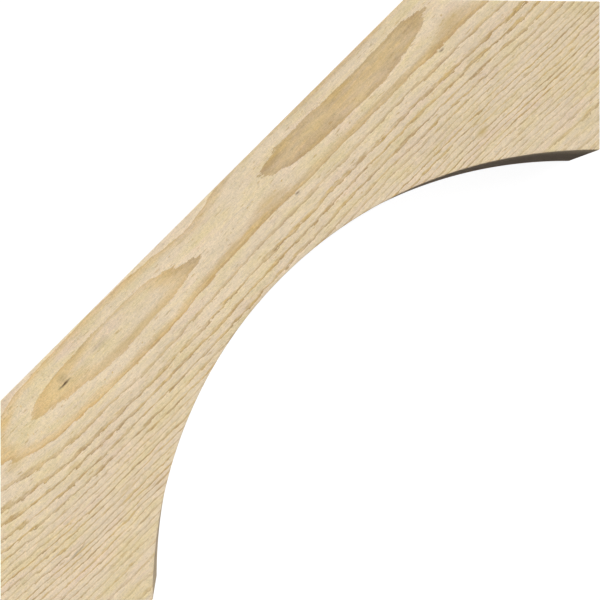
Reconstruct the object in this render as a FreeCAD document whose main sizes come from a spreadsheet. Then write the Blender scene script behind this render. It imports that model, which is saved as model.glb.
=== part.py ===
import FreeCAD, Part
import os
import Sketcher

# A solid timber knee brace for the inside corner of a post and a beam.
# One heavy plank is sawn to shape: a square seat against the post, a square seat under
# the beam, a straight back between them that slopes at 45 degrees while both legs match,
# a square cut at each end, and one long arch sawn out of the inner side.
# It lies flat on one broad face: X leads away from the post, Y leads up to the beam,
# and Z is the plank's thickness.  Every size is in millimetres.

NODE = "knee_brace"
SHEET = "Sizes"

# name, value in millimetres, meaning
SIZES = [
    ("projection", 609.6, "from the post face to the tip, along X"),
    ("drop", 609.6, "from the beam face to the foot, along Y"),
    ("thickness", 139.7, "across the two broad faces, along Z"),
    ("post_seat", 202.0, "length of the face that bears on the post"),
    ("beam_seat", 202.0, "length of the face that bears on the beam"),
    ("foot_cut", 152.4, "square cut that ends the leg on the post"),
    ("tip_cut", 152.4, "square cut that ends the leg under the beam"),
    ("foot_handle", 260.6, "how far the arch holds to the upright line at the foot"),
    ("tip_handle", 260.6, "how far the arch holds to the level line at the tip"),
    ("arris", 1.0, "radius that takes the sharpness off every edge"),
]


def add_size_sheet(doc):
    """Write the driving dimensions into a sheet, one aliased cell to a size."""
    sheet = doc.addObject("Spreadsheet::Sheet", SHEET)
    for row, (name, value, meaning) in enumerate(SIZES, start=1):
        sheet.set("A%d" % row, name)
        sheet.set("B%d" % row, str(value))
        sheet.set("C%d" % row, meaning)
        sheet.setAlias("B%d" % row, name)
    doc.recompute()
    return sheet


def attach_to_plane(sketch, body, role):
    """Lay a sketch on one of its own body's origin planes."""
    plane = next(item for item in body.Origin.OriginFeatures if item.Role == role)
    sketch.AttachmentSupport = [(plane, "")]
    sketch.MapMode = "FlatFace"


def outline_corners(size):
    """The six corners of the plank's outline, anticlockwise from the foot's outer corner."""
    left, right = -size["projection"] / 2, size["projection"] / 2
    bottom, top = -size["drop"] / 2, size["drop"] / 2
    return [
        FreeCAD.Vector(left, bottom, 0),
        FreeCAD.Vector(left + size["foot_cut"], bottom, 0),
        FreeCAD.Vector(right, top - size["tip_cut"], 0),
        FreeCAD.Vector(right, top, 0),
        FreeCAD.Vector(right - size["beam_seat"], top, 0),
        FreeCAD.Vector(left, bottom + size["post_seat"], 0),
    ]


def arch_curve(foot, tip, size):
    """A cubic curve that leaves the foot upright and reaches the tip level."""
    poles = [
        foot,
        foot + FreeCAD.Vector(0, size["foot_handle"], 0),
        tip - FreeCAD.Vector(size["tip_handle"], 0, 0),
        tip,
    ]
    curve = Part.BSplineCurve()
    curve.buildFromPolesMultsKnots(poles, [4, 4], [0.0, 1.0], False, 3)
    return curve


def bind(sketch, kind, name, formula, *where):
    """Add a named distance constraint and drive it from the sheet."""
    index = sketch.addConstraint(Sketcher.Constraint(kind, *where, 1.0))
    sketch.renameConstraint(index, name)
    sketch.setExpression("Constraints." + name, formula)


def draw_outline(doc, body, size):
    """The brace's side view: five straight cuts and the arch."""
    sketch = doc.addObject("Sketcher::SketchObject", "Outline")
    body.addObject(sketch)
    attach_to_plane(sketch, body, "XY_Plane")

    foot_outer, foot, tip, tip_outer, beam_end, post_end = outline_corners(size)
    foot_line = sketch.addGeometry(Part.LineSegment(foot_outer, foot), False)
    arch = sketch.addGeometry(arch_curve(foot, tip, size), False)
    tip_line = sketch.addGeometry(Part.LineSegment(tip, tip_outer), False)
    beam_line = sketch.addGeometry(Part.LineSegment(tip_outer, beam_end), False)
    back_line = sketch.addGeometry(Part.LineSegment(beam_end, post_end), False)
    post_line = sketch.addGeometry(Part.LineSegment(post_end, foot_outer), False)

    # The outline is one closed chain: each edge ends where the next one starts.
    chain = [foot_line, arch, tip_line, beam_line, back_line, post_line]
    start, end, centre = 1, 2, 3
    for edge, following in zip(chain, chain[1:] + chain[:1]):
        sketch.addConstraint(Sketcher.Constraint("Coincident", edge, end, following, start))
    for edge in (foot_line, beam_line):
        sketch.addConstraint(Sketcher.Constraint("Horizontal", edge))
    for edge in (tip_line, post_line):
        sketch.addConstraint(Sketcher.Constraint("Vertical", edge))

    # The two middle control points of the arch set its handles; the outer two are its ends.
    first_pole = sketch.GeometryCount
    sketch.exposeInternalGeometry(arch)
    foot_pole, tip_pole = first_pole + 1, first_pole + 2
    sketch.addConstraint(Sketcher.Constraint("Vertical", arch, start, foot_pole, centre))
    sketch.addConstraint(Sketcher.Constraint("Horizontal", arch, end, tip_pole, centre))

    origin, at_origin = -1, 1
    bind(sketch, "DistanceX", "half_projection", "Sizes.projection / 2",
         post_line, start, origin, at_origin)
    bind(sketch, "DistanceX", "projection", "Sizes.projection", post_line, start, tip_line, end)
    bind(sketch, "DistanceY", "half_drop", "Sizes.drop / 2",
         foot_line, start, origin, at_origin)
    bind(sketch, "DistanceY", "drop", "Sizes.drop", foot_line, start, tip_line, end)
    bind(sketch, "DistanceX", "foot_cut", "Sizes.foot_cut", foot_line, start, foot_line, end)
    bind(sketch, "DistanceY", "tip_cut", "Sizes.tip_cut", tip_line, start, tip_line, end)
    bind(sketch, "DistanceX", "beam_seat", "Sizes.beam_seat", beam_line, end, beam_line, start)
    bind(sketch, "DistanceY", "post_seat", "Sizes.post_seat", post_line, end, post_line, start)
    bind(sketch, "DistanceY", "foot_handle", "Sizes.foot_handle",
         arch, start, foot_pole, centre)
    bind(sketch, "DistanceX", "tip_handle", "Sizes.tip_handle",
         tip_pole, centre, arch, end)
    doc.recompute()
    return sketch


def build_brace(doc, sheet):
    """Saw the outline out of a plank and ease its edges."""
    size = {name: float(sheet.get(name)) for name, _, _ in SIZES}
    body = doc.addObject("PartDesign::Body", "Brace")
    body.Label = NODE
    sketch = draw_outline(doc, body, size)

    plank = doc.addObject("PartDesign::Pad", "Plank")
    body.addObject(plank)
    plank.Profile = sketch
    plank.setExpression("Length", "Sizes.thickness")
    doc.recompute()

    eased = doc.addObject("PartDesign::Fillet", "EasedArrises")
    body.addObject(eased)
    edges = ["Edge%d" % (index + 1) for index in range(len(plank.Shape.Edges))]
    eased.Base = (plank, edges)
    eased.setExpression("Radius", "Sizes.arris")
    doc.recompute()
    return body


def check_document(doc):
    """Stop if any feature failed or left a broken shape."""
    for item in doc.Objects:
        broken = {"Invalid", "Error"} & set(item.State)
        if broken:
            raise RuntimeError("%s is %s" % (item.Name, sorted(broken)))
        if hasattr(item, "Shape") and item.isDerivedFrom("PartDesign::Feature"):
            if item.Shape.isNull() or not item.Shape.isValid():
                raise RuntimeError("%s has a broken shape" % item.Name)


document = FreeCAD.newDocument("KneeBrace")
brace = build_brace(document, add_size_sheet(document))
document.recompute()
check_document(document)
if len(brace.Shape.Solids) != 1:
    raise RuntimeError("the brace must be one solid")

os.makedirs("parts", exist_ok=True)
brace.Shape.exportStep("parts/%s.step" % NODE)
box = brace.Shape.optimalBoundingBox(True, False)
print(NODE, "spans", round(box.XLength, 2), round(box.YLength, 2), round(box.ZLength, 2))
print("from", round(box.XMin, 2), round(box.YMin, 2), round(box.ZMin, 2))
print("volume in litres", round(brace.Shape.Volume / 1e6, 3))
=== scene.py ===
# %% [markdown]
# # A timber knee brace, and how its grain is made
# A knee brace is one heavy piece of wood that stiffens the corner between a post and a
# beam.  This one is sawn from a single plank: five straight cuts and one long arch.
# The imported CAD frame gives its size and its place.  Everything that makes it look like
# wood is worked out here: first where each yearly ring of the tree lies inside the solid,
# then a fine skin that follows the sawn shape, then the finish that turns rings into grain.

import bmesh
import bpy
import numpy as np
from mathutils import Matrix, Vector


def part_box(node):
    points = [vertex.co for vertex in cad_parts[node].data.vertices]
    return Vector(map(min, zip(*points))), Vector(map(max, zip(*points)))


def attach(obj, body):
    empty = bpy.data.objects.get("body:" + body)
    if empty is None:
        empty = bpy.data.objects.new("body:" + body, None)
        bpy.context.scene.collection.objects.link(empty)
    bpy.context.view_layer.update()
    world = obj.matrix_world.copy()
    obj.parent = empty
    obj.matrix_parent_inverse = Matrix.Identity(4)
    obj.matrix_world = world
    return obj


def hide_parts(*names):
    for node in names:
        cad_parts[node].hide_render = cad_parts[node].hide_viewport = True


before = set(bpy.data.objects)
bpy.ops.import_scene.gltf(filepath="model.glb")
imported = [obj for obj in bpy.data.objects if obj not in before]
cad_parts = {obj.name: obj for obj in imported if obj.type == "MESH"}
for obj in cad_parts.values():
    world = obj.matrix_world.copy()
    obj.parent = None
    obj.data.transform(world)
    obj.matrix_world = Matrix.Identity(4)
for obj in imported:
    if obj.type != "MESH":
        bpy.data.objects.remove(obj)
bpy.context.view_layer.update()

low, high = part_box("knee_brace")
print("brace box in mm:", [round(1000 * (b - a), 1) for a, b in zip(low, high)])

# %% [markdown]
# ## The sizes of the sawn shape
# The frame tells how long, wide and thick the brace is.  The lengths of the cuts can't be
# read from a box, so they are named here, with the same values as the solid: the two
# seats, the two square ends, and how far the arch holds to its end directions.

# %% Sizes, in metres
HALF_X = (high.x - low.x) / 2
HALF_Y = (high.y - low.y) / 2
TOP = high.z
SEAT = 0.2020
END_CUT = 0.1524
ARCH_HANDLE = 0.2606
ARRIS = 0.0010
DIAGONAL = np.sqrt(0.5)
MM = 0.001

foot_outer = np.array([-HALF_X, -HALF_Y])
post_end = np.array([-HALF_X, -HALF_Y + SEAT])
beam_end = np.array([HALF_X - SEAT, HALF_Y])
tip_outer = np.array([HALF_X, HALF_Y])
foot_inner = np.array([-HALF_X + END_CUT, -HALF_Y])
tip_inner = np.array([HALF_X, HALF_Y - END_CUT])
print("straight back is", round(float(np.linalg.norm(beam_end - post_end)) * 1000, 1), "mm")

# %% [markdown]
# ## Two directions that belong to the wood
# A sawyer thinks of a brace along the grain and across it.  The grain runs parallel to the
# straight back, at 45 degrees to X and Y.  Along is counted from the middle of the brace,
# across from the straight back towards the arch, and depth down from the upper broad face.

# %% Along, across and depth
def wood_axes(points):
    """Along is (x + y) over root two; across is (x - y + seat) over root two; depth is top - z."""
    along = (points[:, 0] + points[:, 1]) * DIAGONAL
    across = (points[:, 0] - points[:, 1] + SEAT) * DIAGONAL
    depth = TOP - points[:, 2]
    return along / MM, across / MM, depth / MM


corners = np.array([[*foot_inner, TOP], [*tip_inner, TOP]])
print("arch corners, along and across in mm:", np.round(wood_axes(corners)[:2], 1).tolist())

# %% [markdown]
# ## The heart of the tree
# A tree grows one ring a year round its heart.  This plank was cut beside the heart, which
# lay above the upper face, close to the straight back.  A real heart is never straight: it
# wanders a little, and where it comes nearest to the face, the saw cuts through a ring twice
# and leaves a closed oval.  So the heart is a smooth line through a few places, each given
# by how far along the plank it is, how far across, and how high above the face.  The last
# value is where the middle of the outer rings lies, because older wood evens out the bends.

# %% Where the heart runs
HEART = np.array([
    (-450.0, 44.0, 108.0, 42.0),
    (-375.0, 41.0, 100.6, 40.0),
    (-332.0, 39.0, 95.4, 38.5),
    (-300.0, 36.0, 92.6, 37.0),
    (-277.0, 34.5, 90.85, 36.2),
    (-250.0, 33.5, 90.2, 36.0),
    (-200.0, 33.5, 89.5, 36.0),
    (-150.0, 33.5, 89.2, 35.5),
    (-90.0, 34.5, 89.9, 35.0),
    (-52.0, 36.0, 90.78, 34.6),
    (-38.0, 36.0, 91.15, 34.4),
    (8.0, 29.0, 91.5, 33.0),
    (50.0, 22.0, 91.05, 31.5),
    (62.0, 23.5, 90.75, 30.5),
    (85.0, 26.5, 90.1, 29.0),
    (115.0, 28.0, 89.8, 27.5),
    (175.0, 30.5, 89.7, 27.0),
    (240.0, 29.0, 89.9, 27.5),
    (276.0, 25.5, 90.4, 29.2),
    (293.0, 23.5, 90.85, 30.2),
    (308.0, 23.5, 91.25, 31.0),
    (345.0, 27.0, 91.3, 33.0),
    (450.0, 33.0, 90.5, 34.0),
])


def smooth_through(x, knots, values):
    """A cubic between knots; the slope at a knot is taken from its two neighbours."""
    slopes = np.gradient(values, knots)
    place = np.clip(np.searchsorted(knots, x) - 1, 0, len(knots) - 2)
    span = knots[place + 1] - knots[place]
    t = np.clip((x - knots[place]) / span, 0.0, 1.0)
    rise = values[place + 1] - values[place]
    start, end = slopes[place] * span, slopes[place + 1] * span
    square = t**2 * (3 * rise - 2 * start - end)
    cube = t**3 * (start + end - 2 * rise)
    return values[place] + t * start + square + cube


def heart_at(along):
    """At each place along: the heart's place across, its height, and the outer rings' middle."""
    return [smooth_through(along, HEART[:, 0], HEART[:, column]) for column in (1, 2, 3)]


print("heart height, lowest and highest in mm:", HEART[:, 2].min(), HEART[:, 2].max())

# %% [markdown]
# ## A year's growth
# The rings aren't equally wide.  Wet years give wide ones and dry years narrow ones, so the
# widths are a list, from the ring that makes the ovals out to the last one in the plank.
# Beyond the list the rings stay at the last width.

# %% How wide each ring is, in mm
FIRST_RING = 91.0
YEARLY_GROWTH = np.array([4.8, 5.1, 6.6, 5.4, 6.0, 5.4, 4.5, 4.2, 3.8, 3.8, 4.1, 4.4, 5.0, 4.4,
                          3.7, 4.1, 5.0, 5.7, 4.5, 4.3, 5.3, 6.2, 8.0, 10.2, 9.0, 7.5, 7.0])
ring_edges = FIRST_RING + np.concatenate([[0.0], np.cumsum(YEARLY_GROWTH)])
INNER_GROWTH = 5.0


def ring_number(radius):
    """The ring edges passed by a radius, counted in whole rings with the part between as a share."""
    inside = (radius - FIRST_RING) / INNER_GROWTH
    last = len(YEARLY_GROWTH) + (radius - ring_edges[-1]) / YEARLY_GROWTH[-1]
    listed = np.interp(radius, ring_edges, np.arange(len(ring_edges)))
    return np.where(radius < FIRST_RING, inside, np.where(radius > ring_edges[-1], last, listed))


print("rings listed:", len(YEARLY_GROWTH), "out to", round(float(ring_edges[-1]), 1), "mm")

# %% [markdown]
# ## Gentle waves in the rings
# Rings bulge and dip along a trunk.  A handful of long, slow waves with fixed random
# directions, added together, gives such swells without any repeat that the eye can find.

# %% Waves
def waves(along, across, depth, length, breadth, count, seed):
    """Sine waves added up, each with its own direction, start and wavelength."""
    rng = np.random.default_rng(seed)
    total = np.zeros_like(along)
    for _ in range(count):
        turn = rng.uniform(0.0, 2 * np.pi, 2)
        stretch = rng.uniform(0.6, 1.6)
        slope = np.array([np.cos(turn[0]) / length, np.sin(turn[0]) * np.cos(turn[1]) / breadth,
                          np.sin(turn[0]) * np.sin(turn[1]) / breadth]) * 2 * np.pi * stretch
        phase = rng.uniform(0.0, 2 * np.pi)
        total += np.sin(along * slope[0] + across * slope[1] + depth * slope[2] + phase)
    return total / np.sqrt(count)


trial = waves(*wood_axes(corners), 210.0, 70.0, 10, 3)
print("waves at the arch corners:", np.round(trial, 2).tolist())

# %% [markdown]
# ## Which ring a point lies in
# A point's distance from the heart line, with the waves added, is its radius in the tree,
# and the list of yearly growth turns that into a ring number.  It works for any point of
# the solid, so the same rings come out on the broad faces, the end cuts and the arch.

# %% Ring number of a point, sizes in mm
OLDER_WOOD_FROM = 42.0
OLDER_WOOD_BLEND = 12.0
BACK_SIDE_FROM = 18.0
BACK_SIDE_BLEND = 12.0
BACK_SIDE_SQUEEZE = 0.09
FAR_FROM = 20.0
FAR_BLEND = 60.0
SWELL_HEIGHT = 0.22
RIPPLE_HEIGHT = 0.04
RIPPLE_GAIN = 0.08


def growth_at(points):
    """Ring number at each point: its distance from the heart, with the waves, counted in rings."""
    along, across, depth = wood_axes(points)
    heart_across, heart_height, outer_across = heart_at(along)
    outer_share = np.clip((across - OLDER_WOOD_FROM) / OLDER_WOOD_BLEND, 0.0, 1.0)
    sideways = across - heart_across + (heart_across - outer_across) * outer_share
    # The rings are a little closer together on the side of the straight back.
    back_share = np.clip((-sideways - BACK_SIDE_FROM) / BACK_SIDE_BLEND, 0.0, 1.0)
    sideways = sideways * (1.0 + BACK_SIDE_SQUEEZE * back_share)
    radius = np.hypot(sideways, depth + heart_height)
    far = np.clip((np.abs(sideways) - FAR_FROM) / FAR_BLEND, 0.0, 1.0)
    swell = waves(along, across, depth, 210.0, 70.0, 10, 3)
    ripple = waves(along, across, depth, 60.0, 22.0, 10, 8)
    radius = radius + SWELL_HEIGHT * far * swell
    radius = radius + (RIPPLE_HEIGHT + RIPPLE_GAIN * far) * ripple
    return ring_number(radius)


print("rings at the arch corners:", np.round(growth_at(corners), 1).tolist())

# %% [markdown]
# ## How the late wood changes from ring to ring
# Late wood is the dense, darker end of a year's growth.  Some years it is strong and some
# years faint, so every ring has its own share.  The saw cut the two ovals almost level with
# the rings, so they show a broad stretch of it: tan all over by the tip, and by the foot
# orange at the ends and pale in the middle.  These numbers change slowly along the plank,
# so it is enough to keep them at the points of the mesh.

# %% Strength, narrowing and orange of the late wood
RING_COUNT = 60
FIRST_STRENGTHS = (0.86, 0.58, 0.75, 0.90, 0.80)
OVAL_END = 0.3
BACK_STRIP = 14.0


def bell(place, middle, reach):
    """1 at the middle, falling off both ways: e to minus the square of distance over reach."""
    return np.exp(-((place - middle) / reach)**2)


def late_wood_at(points, growth):
    """How strong, how much narrower than usual and how orange the late wood is, ring by ring."""
    along, across, _ = wood_axes(points)
    pale_middle = bell(along, -145.0, 62.0)
    orange = bell(along, -262.0, 80.0) + 0.75 * bell(along, -98.0, 30.0)
    oval_strength = 0.75 - 0.22 * pale_middle + 0.06 * orange
    arch_side = np.clip(1.25 - (across - 33.0) / 18.0, 0.55, 1.3)
    oval_narrowing = 1.0 + 1.15 * pale_middle * arch_side
    year_strength = np.random.default_rng(5).uniform(0.50, 1.05, RING_COUNT)
    year_strength[:len(FIRST_STRENGTHS)] = FIRST_STRENGTHS
    strength = np.interp(growth, np.arange(RING_COUNT) + 0.8, year_strength)
    strength = strength * np.where(across < BACK_STRIP, 0.65, 1.0)
    strength = strength * np.interp(growth, [16.0, 20.0, 23.0], [1.0, 0.70, 0.50])
    strength = np.where(growth < OVAL_END, oval_strength, strength)
    narrowing = np.interp(growth, [OVAL_END, 0.31, 1.0, 1.5], [0.0, 0.80, 0.80, 1.30])
    narrowing = np.where(growth < OVAL_END, oval_narrowing, narrowing)
    orange = orange * np.interp(growth, [0.2, 1.3, 2.5], [1.0, 0.4, 0.0])
    orange = orange + 0.42 * bell(growth, 0.95, 0.35)
    return strength, narrowing, np.minimum(orange, 1.0)


def tone_at(points):
    """Brightness: a trace paler towards the foot, and a long soft stain beside the tip's arch."""
    along, across, _ = wood_axes(points)
    stain = bell(along, 235.0, 80.0) * bell(across, 122.0, 22.0)
    return 0.995 - 0.02 * along / 300.0 - 0.03 * stain


print("tone at the arch corners:", np.round(tone_at(corners), 3).tolist())

# %% [markdown]
# ## A skin that follows the saw cuts
# The CAD solid has few, long triangles, which can't carry relief.  A finer skin of the same
# shape replaces it for looks.  It is built like a stretched box: rule lines run from the
# outer cuts (seat, back, seat) to the arch, and the six sides of the box are six grids.
# Their borders fall on the same points, so they close into one shell with eased arrises.

# %% How many steps the skin has
STEPS_SEAT = 88
STEPS_BACK = 208
STEPS_ACROSS = 90
STEPS_DEEP = 22
EASE_STEPS = 2


def straight_run(start, end, steps):
    """Evenly spaced points from start up to, but not including, end."""
    share = np.arange(steps)[:, None] / steps
    return start + (end - start) * share


def arch_points(share):
    """A cubic Bezier curve that leaves the foot along +Y and reaches the tip along +X."""
    foot_pull = foot_inner + np.array([0.0, ARCH_HANDLE])
    tip_pull = tip_inner - np.array([ARCH_HANDLE, 0.0])
    t = share[:, None]
    poles = (foot_inner, foot_pull, tip_pull, tip_inner)
    weights = ((1 - t)**3, 3 * t * (1 - t)**2, 3 * t**2 * (1 - t), t**3)
    return sum(weight * pole for weight, pole in zip(weights, poles))


outer = np.concatenate([
    straight_run(foot_outer, post_end, STEPS_SEAT),
    straight_run(post_end, beam_end, STEPS_BACK),
    straight_run(beam_end, tip_outer, STEPS_SEAT),
    [tip_outer],
])
walked = np.concatenate([[0.0], np.cumsum(np.linalg.norm(np.diff(outer, axis=0), axis=1))])
inner = arch_points(walked / walked[-1])
print("rule lines:", len(outer))

# %% [markdown]
# Each side of the box needs the directions that its border leans towards, so that two
# neighbouring sides meet half way round the eased arris.  The outer cuts and the arch each
# have a normal at every rule line; the two ends and the two broad faces have one each.

# %% Normals of the cuts
def path_normals(path, side):
    """Each point's normal: the mean direction of its two edges, turned by 90 degrees."""
    edges = np.diff(path, axis=0)
    edges /= np.linalg.norm(edges, axis=1)[:, None]
    before = np.concatenate([edges[:1], edges])
    after = np.concatenate([edges, edges[-1:]])
    lean = before + after
    normal = side * np.stack([-lean[:, 1], lean[:, 0]], axis=1)
    # Dividing by half the squared length keeps the offset right where two cuts meet.
    return normal * 2 / (lean**2).sum(axis=1)[:, None]


outer_normals = path_normals(outer, 1.0)
inner_normals = path_normals(inner, -1.0)
outer_core = outer - outer_normals * ARRIS
inner_core = inner - inner_normals * ARRIS
foot_normal, tip_normal = np.array([0.0, -1.0]), np.array([1.0, 0.0])
for core in (outer_core, inner_core):
    core[0] -= foot_normal * ARRIS
    core[-1] -= tip_normal * ARRIS
print("first outer normal:", outer_normals[0], "first arch normal:", inner_normals[0])

# %% [markdown]
# A point of the skin is a point of the smaller core plus one arris radius in a direction.
# On a flat the direction is the side's own normal.  In the last steps before a border it
# turns towards the neighbour's normal, up to 45 degrees, which rounds the edge.

# %% One side of the skin
def eased(count):
    """Core places 0 to 1 with the turning steps at both ends, and the turn at each: -1 to 1."""
    flat = np.linspace(0.0, 1.0, count + 1)
    turn = np.arange(1, EASE_STEPS + 1) / EASE_STEPS
    place = np.concatenate([np.zeros(EASE_STEPS), flat, np.ones(EASE_STEPS)])
    lean = np.concatenate([-turn[::-1], np.zeros(count + 1), turn])
    return place, lean


ALONG_PLACE, ALONG_LEAN = eased(len(outer) - 1)
ACROSS_PLACE, ACROSS_LEAN = eased(STEPS_ACROSS)
DEEP_PLACE, DEEP_LEAN = eased(STEPS_DEEP)


def core_point(along_place, across_place, deep_place):
    """Slide along the rule line, from the outer core to the arch core, at the given height."""
    index = np.rint(along_place * (len(outer) - 1)).astype(int)
    share = across_place[..., None]
    flat = outer_core[index] * (1 - share) + inner_core[index] * share
    height = low.z + ARRIS + (TOP - low.z - 2 * ARRIS) * deep_place
    return np.concatenate([flat, height[..., None]], axis=-1)


def lean_direction(along_place, side, lean):
    """Outward normals of the box's side pairs, picked by the sign of the lean."""
    index = np.rint(along_place * (len(outer) - 1)).astype(int)
    if side == "along":
        pick = np.where(lean[..., None] < 0, foot_normal, tip_normal)
    elif side == "across":
        pick = np.where(lean[..., None] < 0, outer_normals[index], inner_normals[index])
        pick = pick / np.linalg.norm(pick, axis=-1)[..., None]
    else:
        return np.stack([0 * lean, 0 * lean, np.sign(lean)], axis=-1)
    return np.concatenate([pick, 0 * lean[..., None]], axis=-1)


def side_grid(fixed, sign):
    """One of the six sides: its core grid, and the direction from core to skin at each point."""
    place = {"along": ALONG_PLACE, "across": ACROSS_PLACE, "deep": DEEP_PLACE}
    lean = {"along": ALONG_LEAN, "across": ACROSS_LEAN, "deep": DEEP_LEAN}
    free = [name for name in ("along", "across", "deep") if name != fixed]
    places = dict(zip(free, np.meshgrid(place[free[0]], place[free[1]], indexing="ij")))
    leans = dict(zip(free, np.meshgrid(lean[free[0]], lean[free[1]], indexing="ij")))
    places[fixed] = np.full_like(places[free[0]], 0.0 if sign < 0 else 1.0)
    leans[fixed] = np.full_like(places[fixed], float(sign))
    direction = lean_direction(places["along"], fixed, leans[fixed])
    for name in free:
        tilt = np.tan(np.abs(leans[name]) * np.pi / 4)[..., None]
        direction = direction + tilt * lean_direction(places["along"], name, leans[name])
    direction /= np.linalg.norm(direction, axis=-1)[..., None]
    core = core_point(places["along"], places["across"], places["deep"])
    return core + direction * ARRIS, direction


top_points, top_directions = side_grid("deep", 1)
print("upper face grid:", top_points.shape[:2])

# %% [markdown]
# ## Relief that the saw and the years leave
# The late part of each ring is harder, so it wears less and stands a little proud.  The saw
# leaves faint ripples across the grain, and the whole face is never quite flat.  All of it
# is a push inwards, so the brace never grows past its own size, and it fades out at the
# arrises, where neighbouring sides share their points.

# %% Relief, sizes in mm
WORN_DEPTH = 0.10
SAW_DEPTH = 0.03
SAW_STEP = 9.0
UNEVEN_DEPTH = 0.06
FADE_STEPS = 4.0


def relief(points, growth):
    """Depth of the push inwards: worn early wood, saw ripples, and slow unevenness."""
    along, across, depth = wood_axes(points)
    part = growth - np.floor(growth)
    worn = 0.5 + 0.5 * np.cos(2 * np.pi * (part - 0.12))
    ripple = 0.5 + 0.5 * np.sin(2 * np.pi * (along + 0.25 * across) / SAW_STEP)
    uneven = np.maximum(0.0, 1.0 + 0.5 * waves(along, across, depth, 90.0, 45.0, 8, 21))
    return (WORN_DEPTH * worn + SAW_DEPTH * ripple + UNEVEN_DEPTH * uneven) * MM


def border_fade(shape):
    """0 on a grid's eased border and the point next to it, rising to 1 over four more points."""
    rows = np.minimum(np.arange(shape[0]), np.arange(shape[0])[::-1])
    columns = np.minimum(np.arange(shape[1]), np.arange(shape[1])[::-1])
    nearest = np.minimum(rows[:, None], columns[None, :])
    return np.clip((nearest - EASE_STEPS - 1) / FADE_STEPS, 0.0, 1.0)


face = top_points.reshape(-1, 3)
pushes = relief(face, growth_at(face)) / MM
print("push on the upper face in mm:", round(pushes.min(), 3), "to", round(pushes.max(), 3))

# %% [markdown]
# ## Closing the shell
# Six grids become one mesh.  Points that two grids share are merged, and each point keeps
# a few numbers for the finish: which ring it is in, and how that ring's late wood looks.

# %% Build the brace's skin
MERGE_DISTANCE = 2e-6
SHARP_ANGLE = 35.0


def grid_quads(shape, offset, flip):
    """Corner numbers of every square of a grid, turned round where the grid faces inwards."""
    index = np.arange(shape[0] * shape[1]).reshape(shape) + offset
    quads = np.stack([index[:-1, :-1], index[1:, :-1], index[1:, 1:], index[:-1, 1:]], axis=-1)
    quads = quads.reshape(-1, 4)
    return quads[:, ::-1] if flip else quads


def facing(points, directions, quads):
    """True where a grid's squares already face the way that its directions point."""
    middle = quads[len(quads) // 2]
    flat = points.reshape(-1, 3)
    normal = np.cross(flat[middle[1]] - flat[middle[0]], flat[middle[3]] - flat[middle[0]])
    return float(normal @ directions.reshape(-1, 3)[middle[0]]) > 0


def build_skin():
    """Stack the six grids, push in their relief and merge the points that they share."""
    all_points, all_quads, offset = [], [], 0
    for fixed in ("deep", "across", "along"):
        for sign in (1, -1):
            points, directions = side_grid(fixed, sign)
            shape = points.shape[:2]
            flip = not facing(points, directions, grid_quads(shape, 0, False))
            all_quads.append(grid_quads(shape, offset, flip))
            flat = points.reshape(-1, 3)
            push = relief(flat, growth_at(flat)).reshape(shape) * border_fade(shape)
            all_points.append((points - directions * push[..., None]).reshape(-1, 3))
            offset += shape[0] * shape[1]
    mesh = bpy.data.meshes.new("brace_timber")
    mesh.from_pydata(np.concatenate(all_points), [], np.concatenate(all_quads).tolist())
    shell = bmesh.new()
    shell.from_mesh(mesh)
    bmesh.ops.remove_doubles(shell, verts=shell.verts, dist=MERGE_DISTANCE)
    print("open edges left:", sum(1 for edge in shell.edges if len(edge.link_faces) != 2))
    shell.to_mesh(mesh)
    shell.free()
    return mesh


def store(mesh, name, values):
    """Keep one number per point on the mesh, for the finish to read."""
    mesh.attributes.new(name, "FLOAT", "POINT").data.foreach_set("value", values.astype(np.float32))


timber_mesh = build_skin()
places = np.empty(len(timber_mesh.vertices) * 3)
timber_mesh.vertices.foreach_get("co", places)
places = places.reshape(-1, 3)
growth_there = growth_at(places)
strength_there, narrowing_there, orange_there = late_wood_at(places, growth_there)
store(timber_mesh, "growth", growth_there)
store(timber_mesh, "late_strength", strength_there)
store(timber_mesh, "late_narrowing", narrowing_there)
store(timber_mesh, "late_orange", orange_there)
store(timber_mesh, "tone", tone_at(places))
timber_mesh.shade_smooth()
timber_mesh.set_sharp_from_angle(angle=np.radians(SHARP_ANGLE))
brace = bpy.data.objects.new("brace_timber", timber_mesh)
bpy.context.scene.collection.objects.link(brace)
print("triangles:", 2 * len(timber_mesh.polygons))

# %% [markdown]
# ## The finish: rings into grain
# No picture is laid on the wood.  The finish takes the ring number, adds a little raggedness
# that follows the fibres, and keeps only the part after the whole number: 0 just after
# winter, 1 at the end of the growing year.  Ramps turn that into pale early wood, tan late
# wood and a thin dark edge.  Fibres, blotches and bumps all read the solid's own
# coordinates turned to the grain, so they run on through every cut.

# %% Helpers for nodes
def empty_finish(name):
    """A new material with no nodes in it yet."""
    made = bpy.data.materials.new(name)
    made.use_nodes = True
    made.node_tree.nodes.clear()
    return made


timber = empty_finish("bare_sawn_timber")
tree = timber.node_tree


def node(kind, **settings):
    """Add a node; settings that name an input set its value, the rest set the node itself."""
    made = tree.nodes.new(kind)
    for name, value in settings.items():
        if hasattr(made, name):
            setattr(made, name, value)
        else:
            made.inputs[name.replace("_", " ")].default_value = value
    return made


def link(output, socket):
    """Join an output to an input."""
    tree.links.new(output, socket)


def maths(operation, first, second=None, clamp=False):
    """One Math node; an argument is either another node's output or a plain number."""
    made = tree.nodes.new("ShaderNodeMath")
    made.operation = operation
    made.use_clamp = clamp
    for socket, value in zip(made.inputs, (first, second)):
        if isinstance(value, bpy.types.NodeSocket):
            link(value, socket)
        elif value is not None:
            socket.default_value = value
    return made.outputs[0]


def srgb(red, green, blue):
    """Screen colour 0 to 255 as the linear colour that nodes use: about the share to the 2.4."""
    share = np.array([red, green, blue]) / 255.0
    linear = np.where(share <= 0.04045, share / 12.92, ((share + 0.055) / 1.055)**2.4)
    return (*linear.tolist(), 1.0)


print("middle grey, linear:", round(srgb(128, 128, 128)[0], 3))

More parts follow.
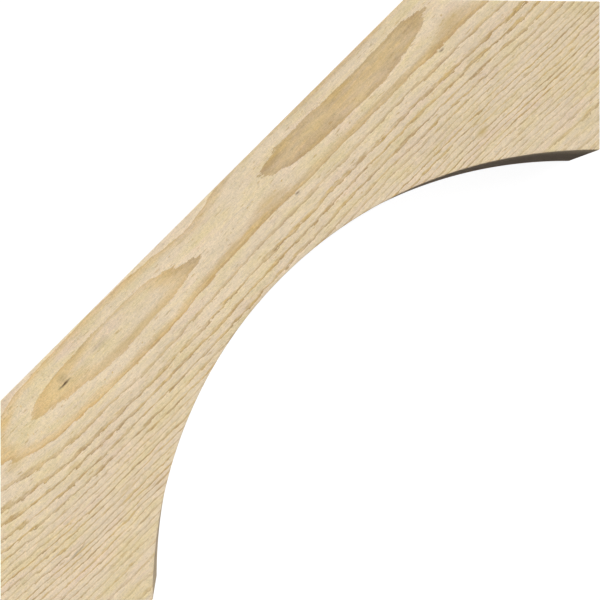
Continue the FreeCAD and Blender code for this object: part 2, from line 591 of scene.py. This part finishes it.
# %% [markdown]
# ### Noise that lies along the grain
# Wood fibres are long and thin, so every noise here is stretched.  A Mapping node of type
# Texture turns the solid's own coordinates by 45 degrees and divides them by a length along
# the grain and a breadth across it, both in mm, so a blob of the noise comes out that big.

# %% Coordinates turned to the grain
GRAIN_TURN = np.radians(45.0)
solid = node("ShaderNodeTexCoord").outputs["Object"]


def grain_space(along_mm, across_mm, shift=(0.0, 0.0, 0.0)):
    """Coordinates in which one unit is the given length along the grain and the given one across."""
    turned = node("ShaderNodeMapping", vector_type="TEXTURE")
    turned.inputs["Rotation"].default_value = (0.0, 0.0, GRAIN_TURN)
    turned.inputs["Scale"].default_value = (along_mm * MM, across_mm * MM, across_mm * MM)
    turned.inputs["Location"].default_value = shift
    link(solid, turned.inputs["Vector"])
    return turned.outputs["Vector"]


def noise(along_mm, across_mm, detail=2.0, roughness=0.5, shift=(0.0, 0.0, 0.0), curl=0.0):
    """Noise whose blobs are about this long and this wide, curled or not; values centre on 0.5."""
    made = node("ShaderNodeTexNoise", noise_dimensions="3D", Scale=1.0, Detail=detail,
                Roughness=roughness, Distortion=curl)
    link(grain_space(along_mm, across_mm, shift), made.inputs["Vector"])
    return made.outputs["Fac"]


def centred(value, amount):
    """Noise made to swing round zero by about this much."""
    return maths("MULTIPLY", maths("SUBTRACT", value, 0.5), amount)


def ramp(value, stops):
    """A colour ramp through (place, colour) stops."""
    made = node("ShaderNodeValToRGB")
    band = made.color_ramp
    while len(band.elements) < len(stops):
        band.elements.new(0.5)
    for element, (place, colour) in zip(band.elements, stops):
        element.position = place
        element.color = colour
    link(value, made.inputs["Fac"])
    return made.outputs["Color"]


def grey(value):
    """A grey for a ramp that carries a number."""
    return (value, value, value, 1.0)


def blend(kind, amount, first, second):
    """Mix two colours; each argument is an output or a plain colour or number."""
    made = node("ShaderNodeMix", data_type="RGBA", blend_type=kind)
    for name, value in (("Factor_Float", amount), ("A_Color", first), ("B_Color", second)):
        socket = next(item for item in made.inputs if item.identifier == name)
        if isinstance(value, bpy.types.NodeSocket):
            link(value, socket)
        else:
            socket.default_value = value
    return next(item for item in made.outputs if item.identifier == "Result_Color")


print("nodes so far:", len(tree.nodes))

# %% [markdown]
# ### Rings with ragged edges
# A ring line isn't a clean curve: the saw tears the fibres across it.  Noises of several
# sizes are added to the ring number before it is cut to its part after the whole number:
# small teeth, a slow drift, long swells and a fine feathering.  Further from the heart the
# rings run more steeply into the face, and looseness lets them wander more there.

# %% Ring number made ragged
LOOSE_AT_HEART = 0.16
LOOSE_PER_RING = 0.30
TEETH = 0.36
DRIFT = 0.70
SWELL = 0.24
FEATHER = 0.10
LUCK_SWING = 1.4
BREAK_SWING = 2.2


def stored(name):
    """A number kept on the mesh."""
    return node("ShaderNodeAttribute", attribute_name=name).outputs["Fac"]


growth = stored("growth")
looseness = maths("ADD", maths("MULTIPLY", growth, LOOSE_PER_RING), LOOSE_AT_HEART, clamp=True)
jagged = maths("MULTIPLY", centred(noise(6.0, 1.6, 2.5, 0.55), TEETH), looseness)
drifting = centred(noise(22.0, 4.0, 2.0, 0.5, (0.2, 0.6, 0.0)), DRIFT)
drifting = maths("MULTIPLY", drifting, looseness)
swelling = centred(noise(55.0, 10.0, 2.0, 0.5, (0.3, 0.1, 0.0)), SWELL)
feathered = centred(noise(2.4, 1.3, 2.5, 0.6, (0.9, 0.1, 0.6), 0.7), FEATHER)
ragged = maths("ADD", maths("ADD", growth, jagged), maths("ADD", drifting, swelling))
ragged = maths("ADD", ragged, feathered)
part = maths("FRACT", ragged)
left_of_year = maths("MULTIPLY", maths("SUBTRACT", 1.0, part), stored("late_narrowing"))
ripe = maths("SUBTRACT", 1.0, left_of_year, clamp=True)
luck = maths("ADD", centred(noise(60.0, 12.0, 2.0), LUCK_SWING), 1.0)
breaks = centred(noise(13.0, 2.5, 2.0, 0.6, (0.8, 0.2, 0.5)), BREAK_SWING)
breaks = maths("ADD", maths("MULTIPLY", breaks, looseness), 1.0)
strength = maths("MULTIPLY", maths("MULTIPLY", stored("late_strength"), luck), breaks)
print("nodes so far:", len(tree.nodes))

# %% [markdown]
# ### Pale wood, late wood and the dark edge
# Three layers of colour follow the year: pale early wood with pink and greenish stretches,
# tan late wood that grows towards the year's end, and a thin brown edge where growth stops.
# Each is mixed over the one before by a ramp of the ring's part, so nothing has a hard step
# but the edge itself.

# %% Colours of the year
PALE = srgb(230, 211, 180)
PALE_PINK = srgb(229, 206, 178)
PALE_GREEN = srgb(226, 207, 163)
TAN = srgb(194, 164, 118)
YELLOW_TAN = srgb(213, 181, 119)
ORANGE_TAN = srgb(230, 199, 140)
OCHRE = srgb(192, 156, 94)
EDGE_BROWN = srgb(166, 135, 97)
EDGE_ORANGE = srgb(208, 164, 104)
RESIN = srgb(200, 172, 112)
DARK = srgb(98, 72, 52)


def strength_ramp(value, *stops):
    """A ramp that carries a number: (place, amount) stops."""
    return ramp(value, [(place, grey(amount)) for place, amount in stops])


def patches(value, low_end, high_end):
    """0 below one noise value, 1 above another."""
    return strength_ramp(value, (low_end, 0.0), (high_end, 1.0))


late = strength_ramp(ripe, (0.0, 0.0), (0.56, 0.0), (0.74, 0.80), (0.93, 1.0), (1.0, 0.75))
edge = strength_ramp(ripe, (0.0, 0.0), (0.86, 0.0), (0.95, 1.0), (1.0, 0.8))
pink_share = patches(noise(70.0, 16.0, 4.0, 0.65, (0.0, 0.7, 0.2)), 0.48, 0.68)
green_share = patches(noise(50.0, 12.0, 4.0, 0.65, (0.6, 0.3, 0.1)), 0.44, 0.66)
yellow_share = patches(noise(40.0, 8.0, 3.0, 0.6, (0.1, 0.9, 0.4)), 0.42, 0.60)
ochre_share = patches(noise(18.0, 4.0, 2.0, 0.5, (0.4, 0.0, 0.8)), 0.48, 0.64)
base = blend("MIX", pink_share, PALE, PALE_PINK)
base = blend("MIX", green_share, base, PALE_GREEN)
late_colour = blend("MIX", yellow_share, TAN, YELLOW_TAN)
late_colour = blend("MIX", stored("late_orange"), late_colour, ORANGE_TAN)
base = blend("MIX", maths("MULTIPLY", late, strength, clamp=True), base, late_colour)
edge_colour = blend("MIX", ochre_share, EDGE_BROWN, OCHRE)
edge_colour = blend("MIX", stored("late_orange"), edge_colour, EDGE_ORANGE)
# The two ovals have a softer rim than the rings outside them.
RIM_AT_OVALS = 0.60
RIM_PER_RING = 0.7
EDGE_AMOUNT = 0.60
rim = maths("ADD", maths("MULTIPLY", growth, RIM_PER_RING), RIM_AT_OVALS, clamp=True)
edge_amount = maths("MULTIPLY", rim, EDGE_AMOUNT)
edge_share = maths("MULTIPLY", maths("MULTIPLY", edge, strength), edge_amount, clamp=True)
base = blend("MIX", edge_share, base, edge_colour)
fleck = patches(noise(12.0, 2.2, 2.0, 0.5, (0.7, 0.7, 0.1)), 0.63, 0.72)
FLECK_AMOUNT = 0.55
base = blend("MIX", maths("MULTIPLY", fleck, FLECK_AMOUNT), base, OCHRE)
print("nodes so far:", len(tree.nodes))

# %% [markdown]
# ### Fibres, nap and blotches
# Sawn wood is rough, and its torn fibres catch the light.  Each kind of roughness is a noise
# of its own size, from blotches as long as a hand to a nap of a millimetre, turned into a
# shade near 1 and multiplied over the colour.  The curled fibres and the first wood of each
# year get painted shade and painted highlights there, standing in for light on their relief.

# %% Shades of the sawn surface
fibre = noise(8.0, 0.8, 3.0, 0.7)
fuzz = noise(2.2, 1.2, 3.0, 0.65, (0.5, 0.2, 0.0), 0.8)
nap = noise(1.3, 2.2, 3.0, 0.6, (0.1, 0.5, 0.9), 0.6)
blotch = noise(60.0, 22.0, 3.0, 0.55, (0.9, 0.4, 0.3))
fibre_shade = strength_ramp(fibre, (0.30, 0.85), (0.5, 1.0), (0.70, 1.09))
fuzz_shade = strength_ramp(fuzz, (0.32, 0.94), (0.68, 1.05))
nap_shade = strength_ramp(nap, (0.30, 0.95), (0.70, 1.04))
blotch_shade = strength_ramp(blotch, (0.3, 0.95), (0.7, 1.02))
# Torn fibres: thin curled lines with painted shade on one side and a painted highlight
# on the other, where a raised fibre would catch the light.
curled = noise(3.4, 2.2, 1.5, 0.5, (0.3, 0.8, 0.2), 1.3)
painted_curl_light_and_shade = strength_ramp(curled, (0.41, 1.0), (0.46, 0.87), (0.51, 1.09), (0.57, 1.0))
# A painted highlight: the first wood of a new year, just after the dark edge, is made the
# palest of all, like the lit side of the raised late wood.
painted_spring_highlight = strength_ramp(part, (0.0, 1.06), (0.10, 1.05), (0.28, 1.0))
shades = (fibre_shade, fuzz_shade, nap_shade, blotch_shade, painted_curl_light_and_shade, painted_spring_highlight)
shaded = base
for shade in (*shades, stored("tone")):
    shaded = blend("MULTIPLY", 1.0, shaded, shade)
print("shades multiplied over the colour:", len(shades) + 1)

# %% [markdown]
# ### Dark marks and resin
# This plank has a few marks that no noise would put in the right place: a small dark slit
# in the foot's oval, painted shade where a small crack runs, some specks, and stretches
# where resin soaked in.  Each is a ball-shaped gradient on the upper face, stretched along
# the grain, so it needs no picture and no finer mesh.  A row holds its place along and
# across, half its length, half its breadth (all in mm), and its strength.

# %% Marks on the upper face
DARK_MARKS = (
    # The first row is the dark slit: painted shade inside a small crack that has no groove in the
    # mesh.
    (-231.0, 33.5, 11.0, 1.5, 1.25),
    (-229.0, 27.5, 7.0, 7.0, 0.30),
    (-177.0, 30.5, 17.0, 5.0, 0.26),
    (71.5, 63.0, 4.5, 1.6, 0.90),
    (279.0, 63.8, 4.5, 1.6, 0.90),
    (-342.0, 162.5, 20.0, 1.3, 0.45),
)
RESIN_PATCHES = (
    (48.5, 47.5, 22.0, 8.0, 0.55),
    (305.0, 48.0, 26.0, 9.0, 0.60),
    (250.0, 152.5, 11.0, 5.0, 0.85),
    (-325.0, 55.0, 18.0, 7.0, 0.55),
    (-150.0, 47.0, 70.0, 6.0, 0.45),
    (-283.0, 98.0, 12.0, 3.0, 0.60),
    (-262.0, 152.0, 14.0, 3.0, 0.60),
    (150.0, 98.0, 14.0, 3.0, 0.50),
)
MARK_DEPTH = 8.0


def mark(along, across, length, breadth, strength):
    """A soft oval spot on the upper face: its strength in the middle, falling to 0 at its border."""
    reach = np.array([along, across]) * MM / DIAGONAL
    placed = node("ShaderNodeMapping", vector_type="TEXTURE")
    placed.inputs["Location"].default_value = ((reach[0] + reach[1] - SEAT) / 2,
                                               (reach[0] - reach[1] + SEAT) / 2, TOP)
    placed.inputs["Rotation"].default_value = (0.0, 0.0, GRAIN_TURN)
    placed.inputs["Scale"].default_value = (length * MM, breadth * MM, MARK_DEPTH * MM)
    link(warped, placed.inputs["Vector"])
    spot = node("ShaderNodeTexGradient", gradient_type="SPHERICAL")
    link(placed.outputs["Vector"], spot.inputs["Vector"])
    return maths("MULTIPLY", spot.outputs["Fac"], strength, clamp=True)


def strongest(marks):
    """The strongest of several marks at each place."""
    found = mark(*marks[0])
    for settings in marks[1:]:
        found = maths("MAXIMUM", found, mark(*settings))
    return found


# A little noise added to the coordinates keeps the spots from being neat ovals.
unrest = node("ShaderNodeTexNoise", noise_dimensions="3D", Scale=1.0, Detail=2.0)
link(grain_space(5.0, 2.0), unrest.inputs["Vector"])
UNREST = 2.0 * MM
small = node("ShaderNodeVectorMath", operation="MULTIPLY_ADD")
small.inputs[1].default_value = (UNREST, UNREST, 0.0)
small.inputs[2].default_value = (-UNREST / 2, -UNREST / 2, 0.0)
link(unrest.outputs["Color"], small.inputs[0])
joined = node("ShaderNodeVectorMath", operation="ADD")
link(small.outputs["Vector"], joined.inputs[0])
link(solid, joined.inputs[1])
warped = joined.outputs["Vector"]

shaded = blend("MIX", strongest(RESIN_PATCHES), shaded, RESIN)
shaded = blend("MIX", strongest(DARK_MARKS), shaded, DARK)
print("marks:", len(DARK_MARKS), "dark,", len(RESIN_PATCHES), "of resin")

# %% [markdown]
# ### The surface itself
# Bare wood is matt, so the roughness is high and the shine low.  The late wood, the fibres
# and the nap stand up a little, and a Bump node tilts the light to suit.  Relief that is
# large enough to see from the side is already in the mesh.

# %% Surface
ROUGHNESS = 0.72
SHINE = 0.25
LATE_HEIGHT = 0.35
FIBRE_HEIGHT = 0.6
FUZZ_HEIGHT = 0.8
NAP_HEIGHT = 0.9
BUMP_STRENGTH = 0.75
BUMP_DEPTH = 0.0008
surface = node("ShaderNodeBsdfPrincipled", Roughness=ROUGHNESS)
surface.inputs["Specular IOR Level"].default_value = SHINE
link(shaded, surface.inputs["Base Color"])
height = maths("MULTIPLY", late, LATE_HEIGHT)
height = maths("ADD", height, maths("MULTIPLY", fibre, FIBRE_HEIGHT))
height = maths("ADD", height, maths("MULTIPLY", fuzz, FUZZ_HEIGHT))
height = maths("ADD", height, maths("MULTIPLY", nap, NAP_HEIGHT))
bump = node("ShaderNodeBump", Strength=BUMP_STRENGTH, Distance=BUMP_DEPTH)
link(height, bump.inputs["Height"])
link(bump.outputs["Normal"], surface.inputs["Normal"])
link(surface.outputs["BSDF"], node("ShaderNodeOutputMaterial").inputs["Surface"])
timber_mesh.materials.append(timber)
print("nodes in the finish:", len(tree.nodes))

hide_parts("knee_brace")
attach(brace, "root")

# %% [markdown]
# ## The floor
# The brace lies on a plain white floor that sweeps up into a wall far away, as in a studio.
# It is a bowl: one outline of radius and height, turned through a full circle, so it is
# white whichever way one looks.  Most of its white is its own glow, so it never turns grey,
# and a little matt white keeps a trace of the brace's shadow.  Light that bounces between
# surfaces doesn't see the floor, or it would brighten the shaded wall of the arch, and the
# floor blocks no light, or its wall would hide the low lamps.

# %% Floor, sizes in metres
HOLE_RADIUS = 0.3
FLAT_RADIUS = 14.0
SWEEP_RADIUS = 5.0
WALL_HEIGHT = 20.0
SWEEP_POINTS = 17
ROUND_STEPS = 96
GLOW = 0.95
MATTE = 0.14


def sweep_profile():
    """Radius and height of the floor's outline: flat, then a quarter circle, then straight up."""
    turn = np.linspace(0.0, np.pi / 2, SWEEP_POINTS)
    swept = FLAT_RADIUS + SWEEP_RADIUS * np.sin(turn)
    radius = np.concatenate([[HOLE_RADIUS], swept, [FLAT_RADIUS + SWEEP_RADIUS]])
    height = np.concatenate([[0.0], SWEEP_RADIUS * (1 - np.cos(turn)), [WALL_HEIGHT]])
    return radius, height


def turned_floor():
    """The profile carried round a full circle, with one many-sided plate in the middle."""
    radius, height = sweep_profile()
    angle = np.arange(ROUND_STEPS) * 2 * np.pi / ROUND_STEPS
    x = radius[:, None] * np.cos(angle)
    y = radius[:, None] * np.sin(angle)
    z = np.broadcast_to(low.z + height[:, None], x.shape)
    ring = np.arange(ROUND_STEPS)
    after = (ring + 1) % ROUND_STEPS
    inward = np.arange(len(radius) - 1)[:, None] * ROUND_STEPS
    outward = inward + ROUND_STEPS
    quads = np.stack([inward + ring, outward + ring, outward + after, inward + after], axis=-1)
    mesh = bpy.data.meshes.new("floor")
    points = np.stack([x, y, z], axis=-1).reshape(-1, 3)
    mesh.from_pydata(points, [], [ring.tolist()] + quads.reshape(-1, 4).tolist())
    return mesh


floor_mesh = turned_floor()
floor = bpy.data.objects.new("floor", floor_mesh)
bpy.context.scene.collection.objects.link(floor)
floor_paint = empty_finish("white_floor")
paint_nodes = floor_paint.node_tree.nodes
glow = paint_nodes.new("ShaderNodeEmission")
glow.inputs["Color"].default_value = grey(1.0)
glow.inputs["Strength"].default_value = GLOW
matte = paint_nodes.new("ShaderNodeBsdfDiffuse")
matte.inputs["Color"].default_value = grey(MATTE)
together = paint_nodes.new("ShaderNodeAddShader")
paint_end = paint_nodes.new("ShaderNodeOutputMaterial")
paint_links = floor_paint.node_tree.links
paint_links.new(glow.outputs[0], together.inputs[0])
paint_links.new(matte.outputs[0], together.inputs[1])
paint_links.new(together.outputs[0], paint_end.inputs["Surface"])
floor_mesh.materials.append(floor_paint)
floor.visible_diffuse = False
floor.visible_glossy = False
floor.visible_shadow = False
print("floor squares:", len(floor_mesh.polygons))

# %% [markdown]
# ## Light
# One broad high light comes from the tip's side.  It lights the upper face and leaves the
# arch under the tip in shade.  Three weaker ones reach what it can't: the straight back, the
# foot's square end, and the arch near the foot.  The last two are so low that they hardly
# touch the upper face.  Suns shine evenly everywhere, and the wider a sun's disc, the softer
# its shadow.

# %% Light
SKY_COLOUR = (0.97, 0.96, 1.12, 1.0)
SKY_STRENGTH = 0.10
LAMP_DISTANCE = 3.0
SUNS = (
    ("key", (0.42, 0.27, 0.87), 2.53, 30.0),
    ("back_fill", (-0.60, 0.62, 0.35), 1.55, 40.0),
    ("foot_fill", (-0.80, -0.60, 0.03), 1.1, 8.0),
    ("arch_fill", (1.0, 0.10, 0.10), 0.36, 12.0),
)
world = bpy.data.worlds.new("studio")
bpy.context.scene.world = world
world.use_nodes = True
sky = world.node_tree.nodes["Background"]
sky.inputs["Color"].default_value = SKY_COLOUR
sky.inputs["Strength"].default_value = SKY_STRENGTH


def soft_sun(name, direction, strength, spread):
    """A light that shines evenly from a direction; spread is its disc's width in degrees."""
    data = bpy.data.lights.new(name, "SUN")
    data.energy = strength
    data.angle = np.radians(spread)
    lamp = bpy.data.objects.new(name, data)
    lamp.location = Vector(direction) * LAMP_DISTANCE
    lamp.rotation_euler = Vector(direction).to_track_quat("Z", "Y").to_euler()
    bpy.context.scene.collection.objects.link(lamp)


for sun in SUNS:
    soft_sun(*sun)
print("suns:", len(SUNS))

# %% [markdown]
# ## Camera
# The camera looks down on the upper face from a little under 1.7 m, slightly to the left,
# so a sliver of the arch's wall shows under the tip and a thinner one at the foot.  Its own
# axes are worked out here, so that the top of the picture is +Y.  The last lines print
# where the corners fall, to show that the brace just fills the frame.

# %% Camera
CAMERA_ABOVE_FACE = 1.658
CAMERA_SIDEWAYS = -0.1006
CAMERA_UPWARDS = 0.003
AIM_X, AIM_Y = -0.0033, -0.0016
LENS = 98.15
SENSOR = 36.0
FRAME = 600.0
camera_data = bpy.data.cameras.new("camera")
camera_data.sensor_width = SENSOR
camera_data.lens = LENS
camera = bpy.data.objects.new("camera", camera_data)
bpy.context.scene.collection.objects.link(camera)
eye = Vector((CAMERA_SIDEWAYS, CAMERA_UPWARDS, TOP + CAMERA_ABOVE_FACE))
forward = (Vector((AIM_X, AIM_Y, TOP)) - eye).normalized()
rightward = forward.cross(Vector((0.0, 1.0, 0.0))).normalized()
upward = rightward.cross(forward)
turn = Matrix((rightward, upward, -forward)).transposed()
camera.matrix_world = Matrix.Translation(eye) @ turn.to_4x4()
bpy.context.scene.camera = camera
bpy.context.scene.view_settings.view_transform = "Standard"
print("camera at", [round(value, 3) for value in eye])


def seen_at(point):
    """Where a point falls in the frame: sideways over distance, times the lens's magnification."""
    local = turn.transposed() @ (Vector(point) - eye)
    scale = LENS / SENSOR * FRAME / -local.z
    return round(FRAME / 2 + local.x * scale, 1), round(FRAME / 2 - local.y * scale, 1)


corner_names = {"foot outer": foot_outer, "foot inner": foot_inner, "post end": post_end,
                "beam end": beam_end, "tip outer": tip_outer, "tip inner": tip_inner}
for name, corner in corner_names.items():
    print(name, seen_at((*corner, TOP)))
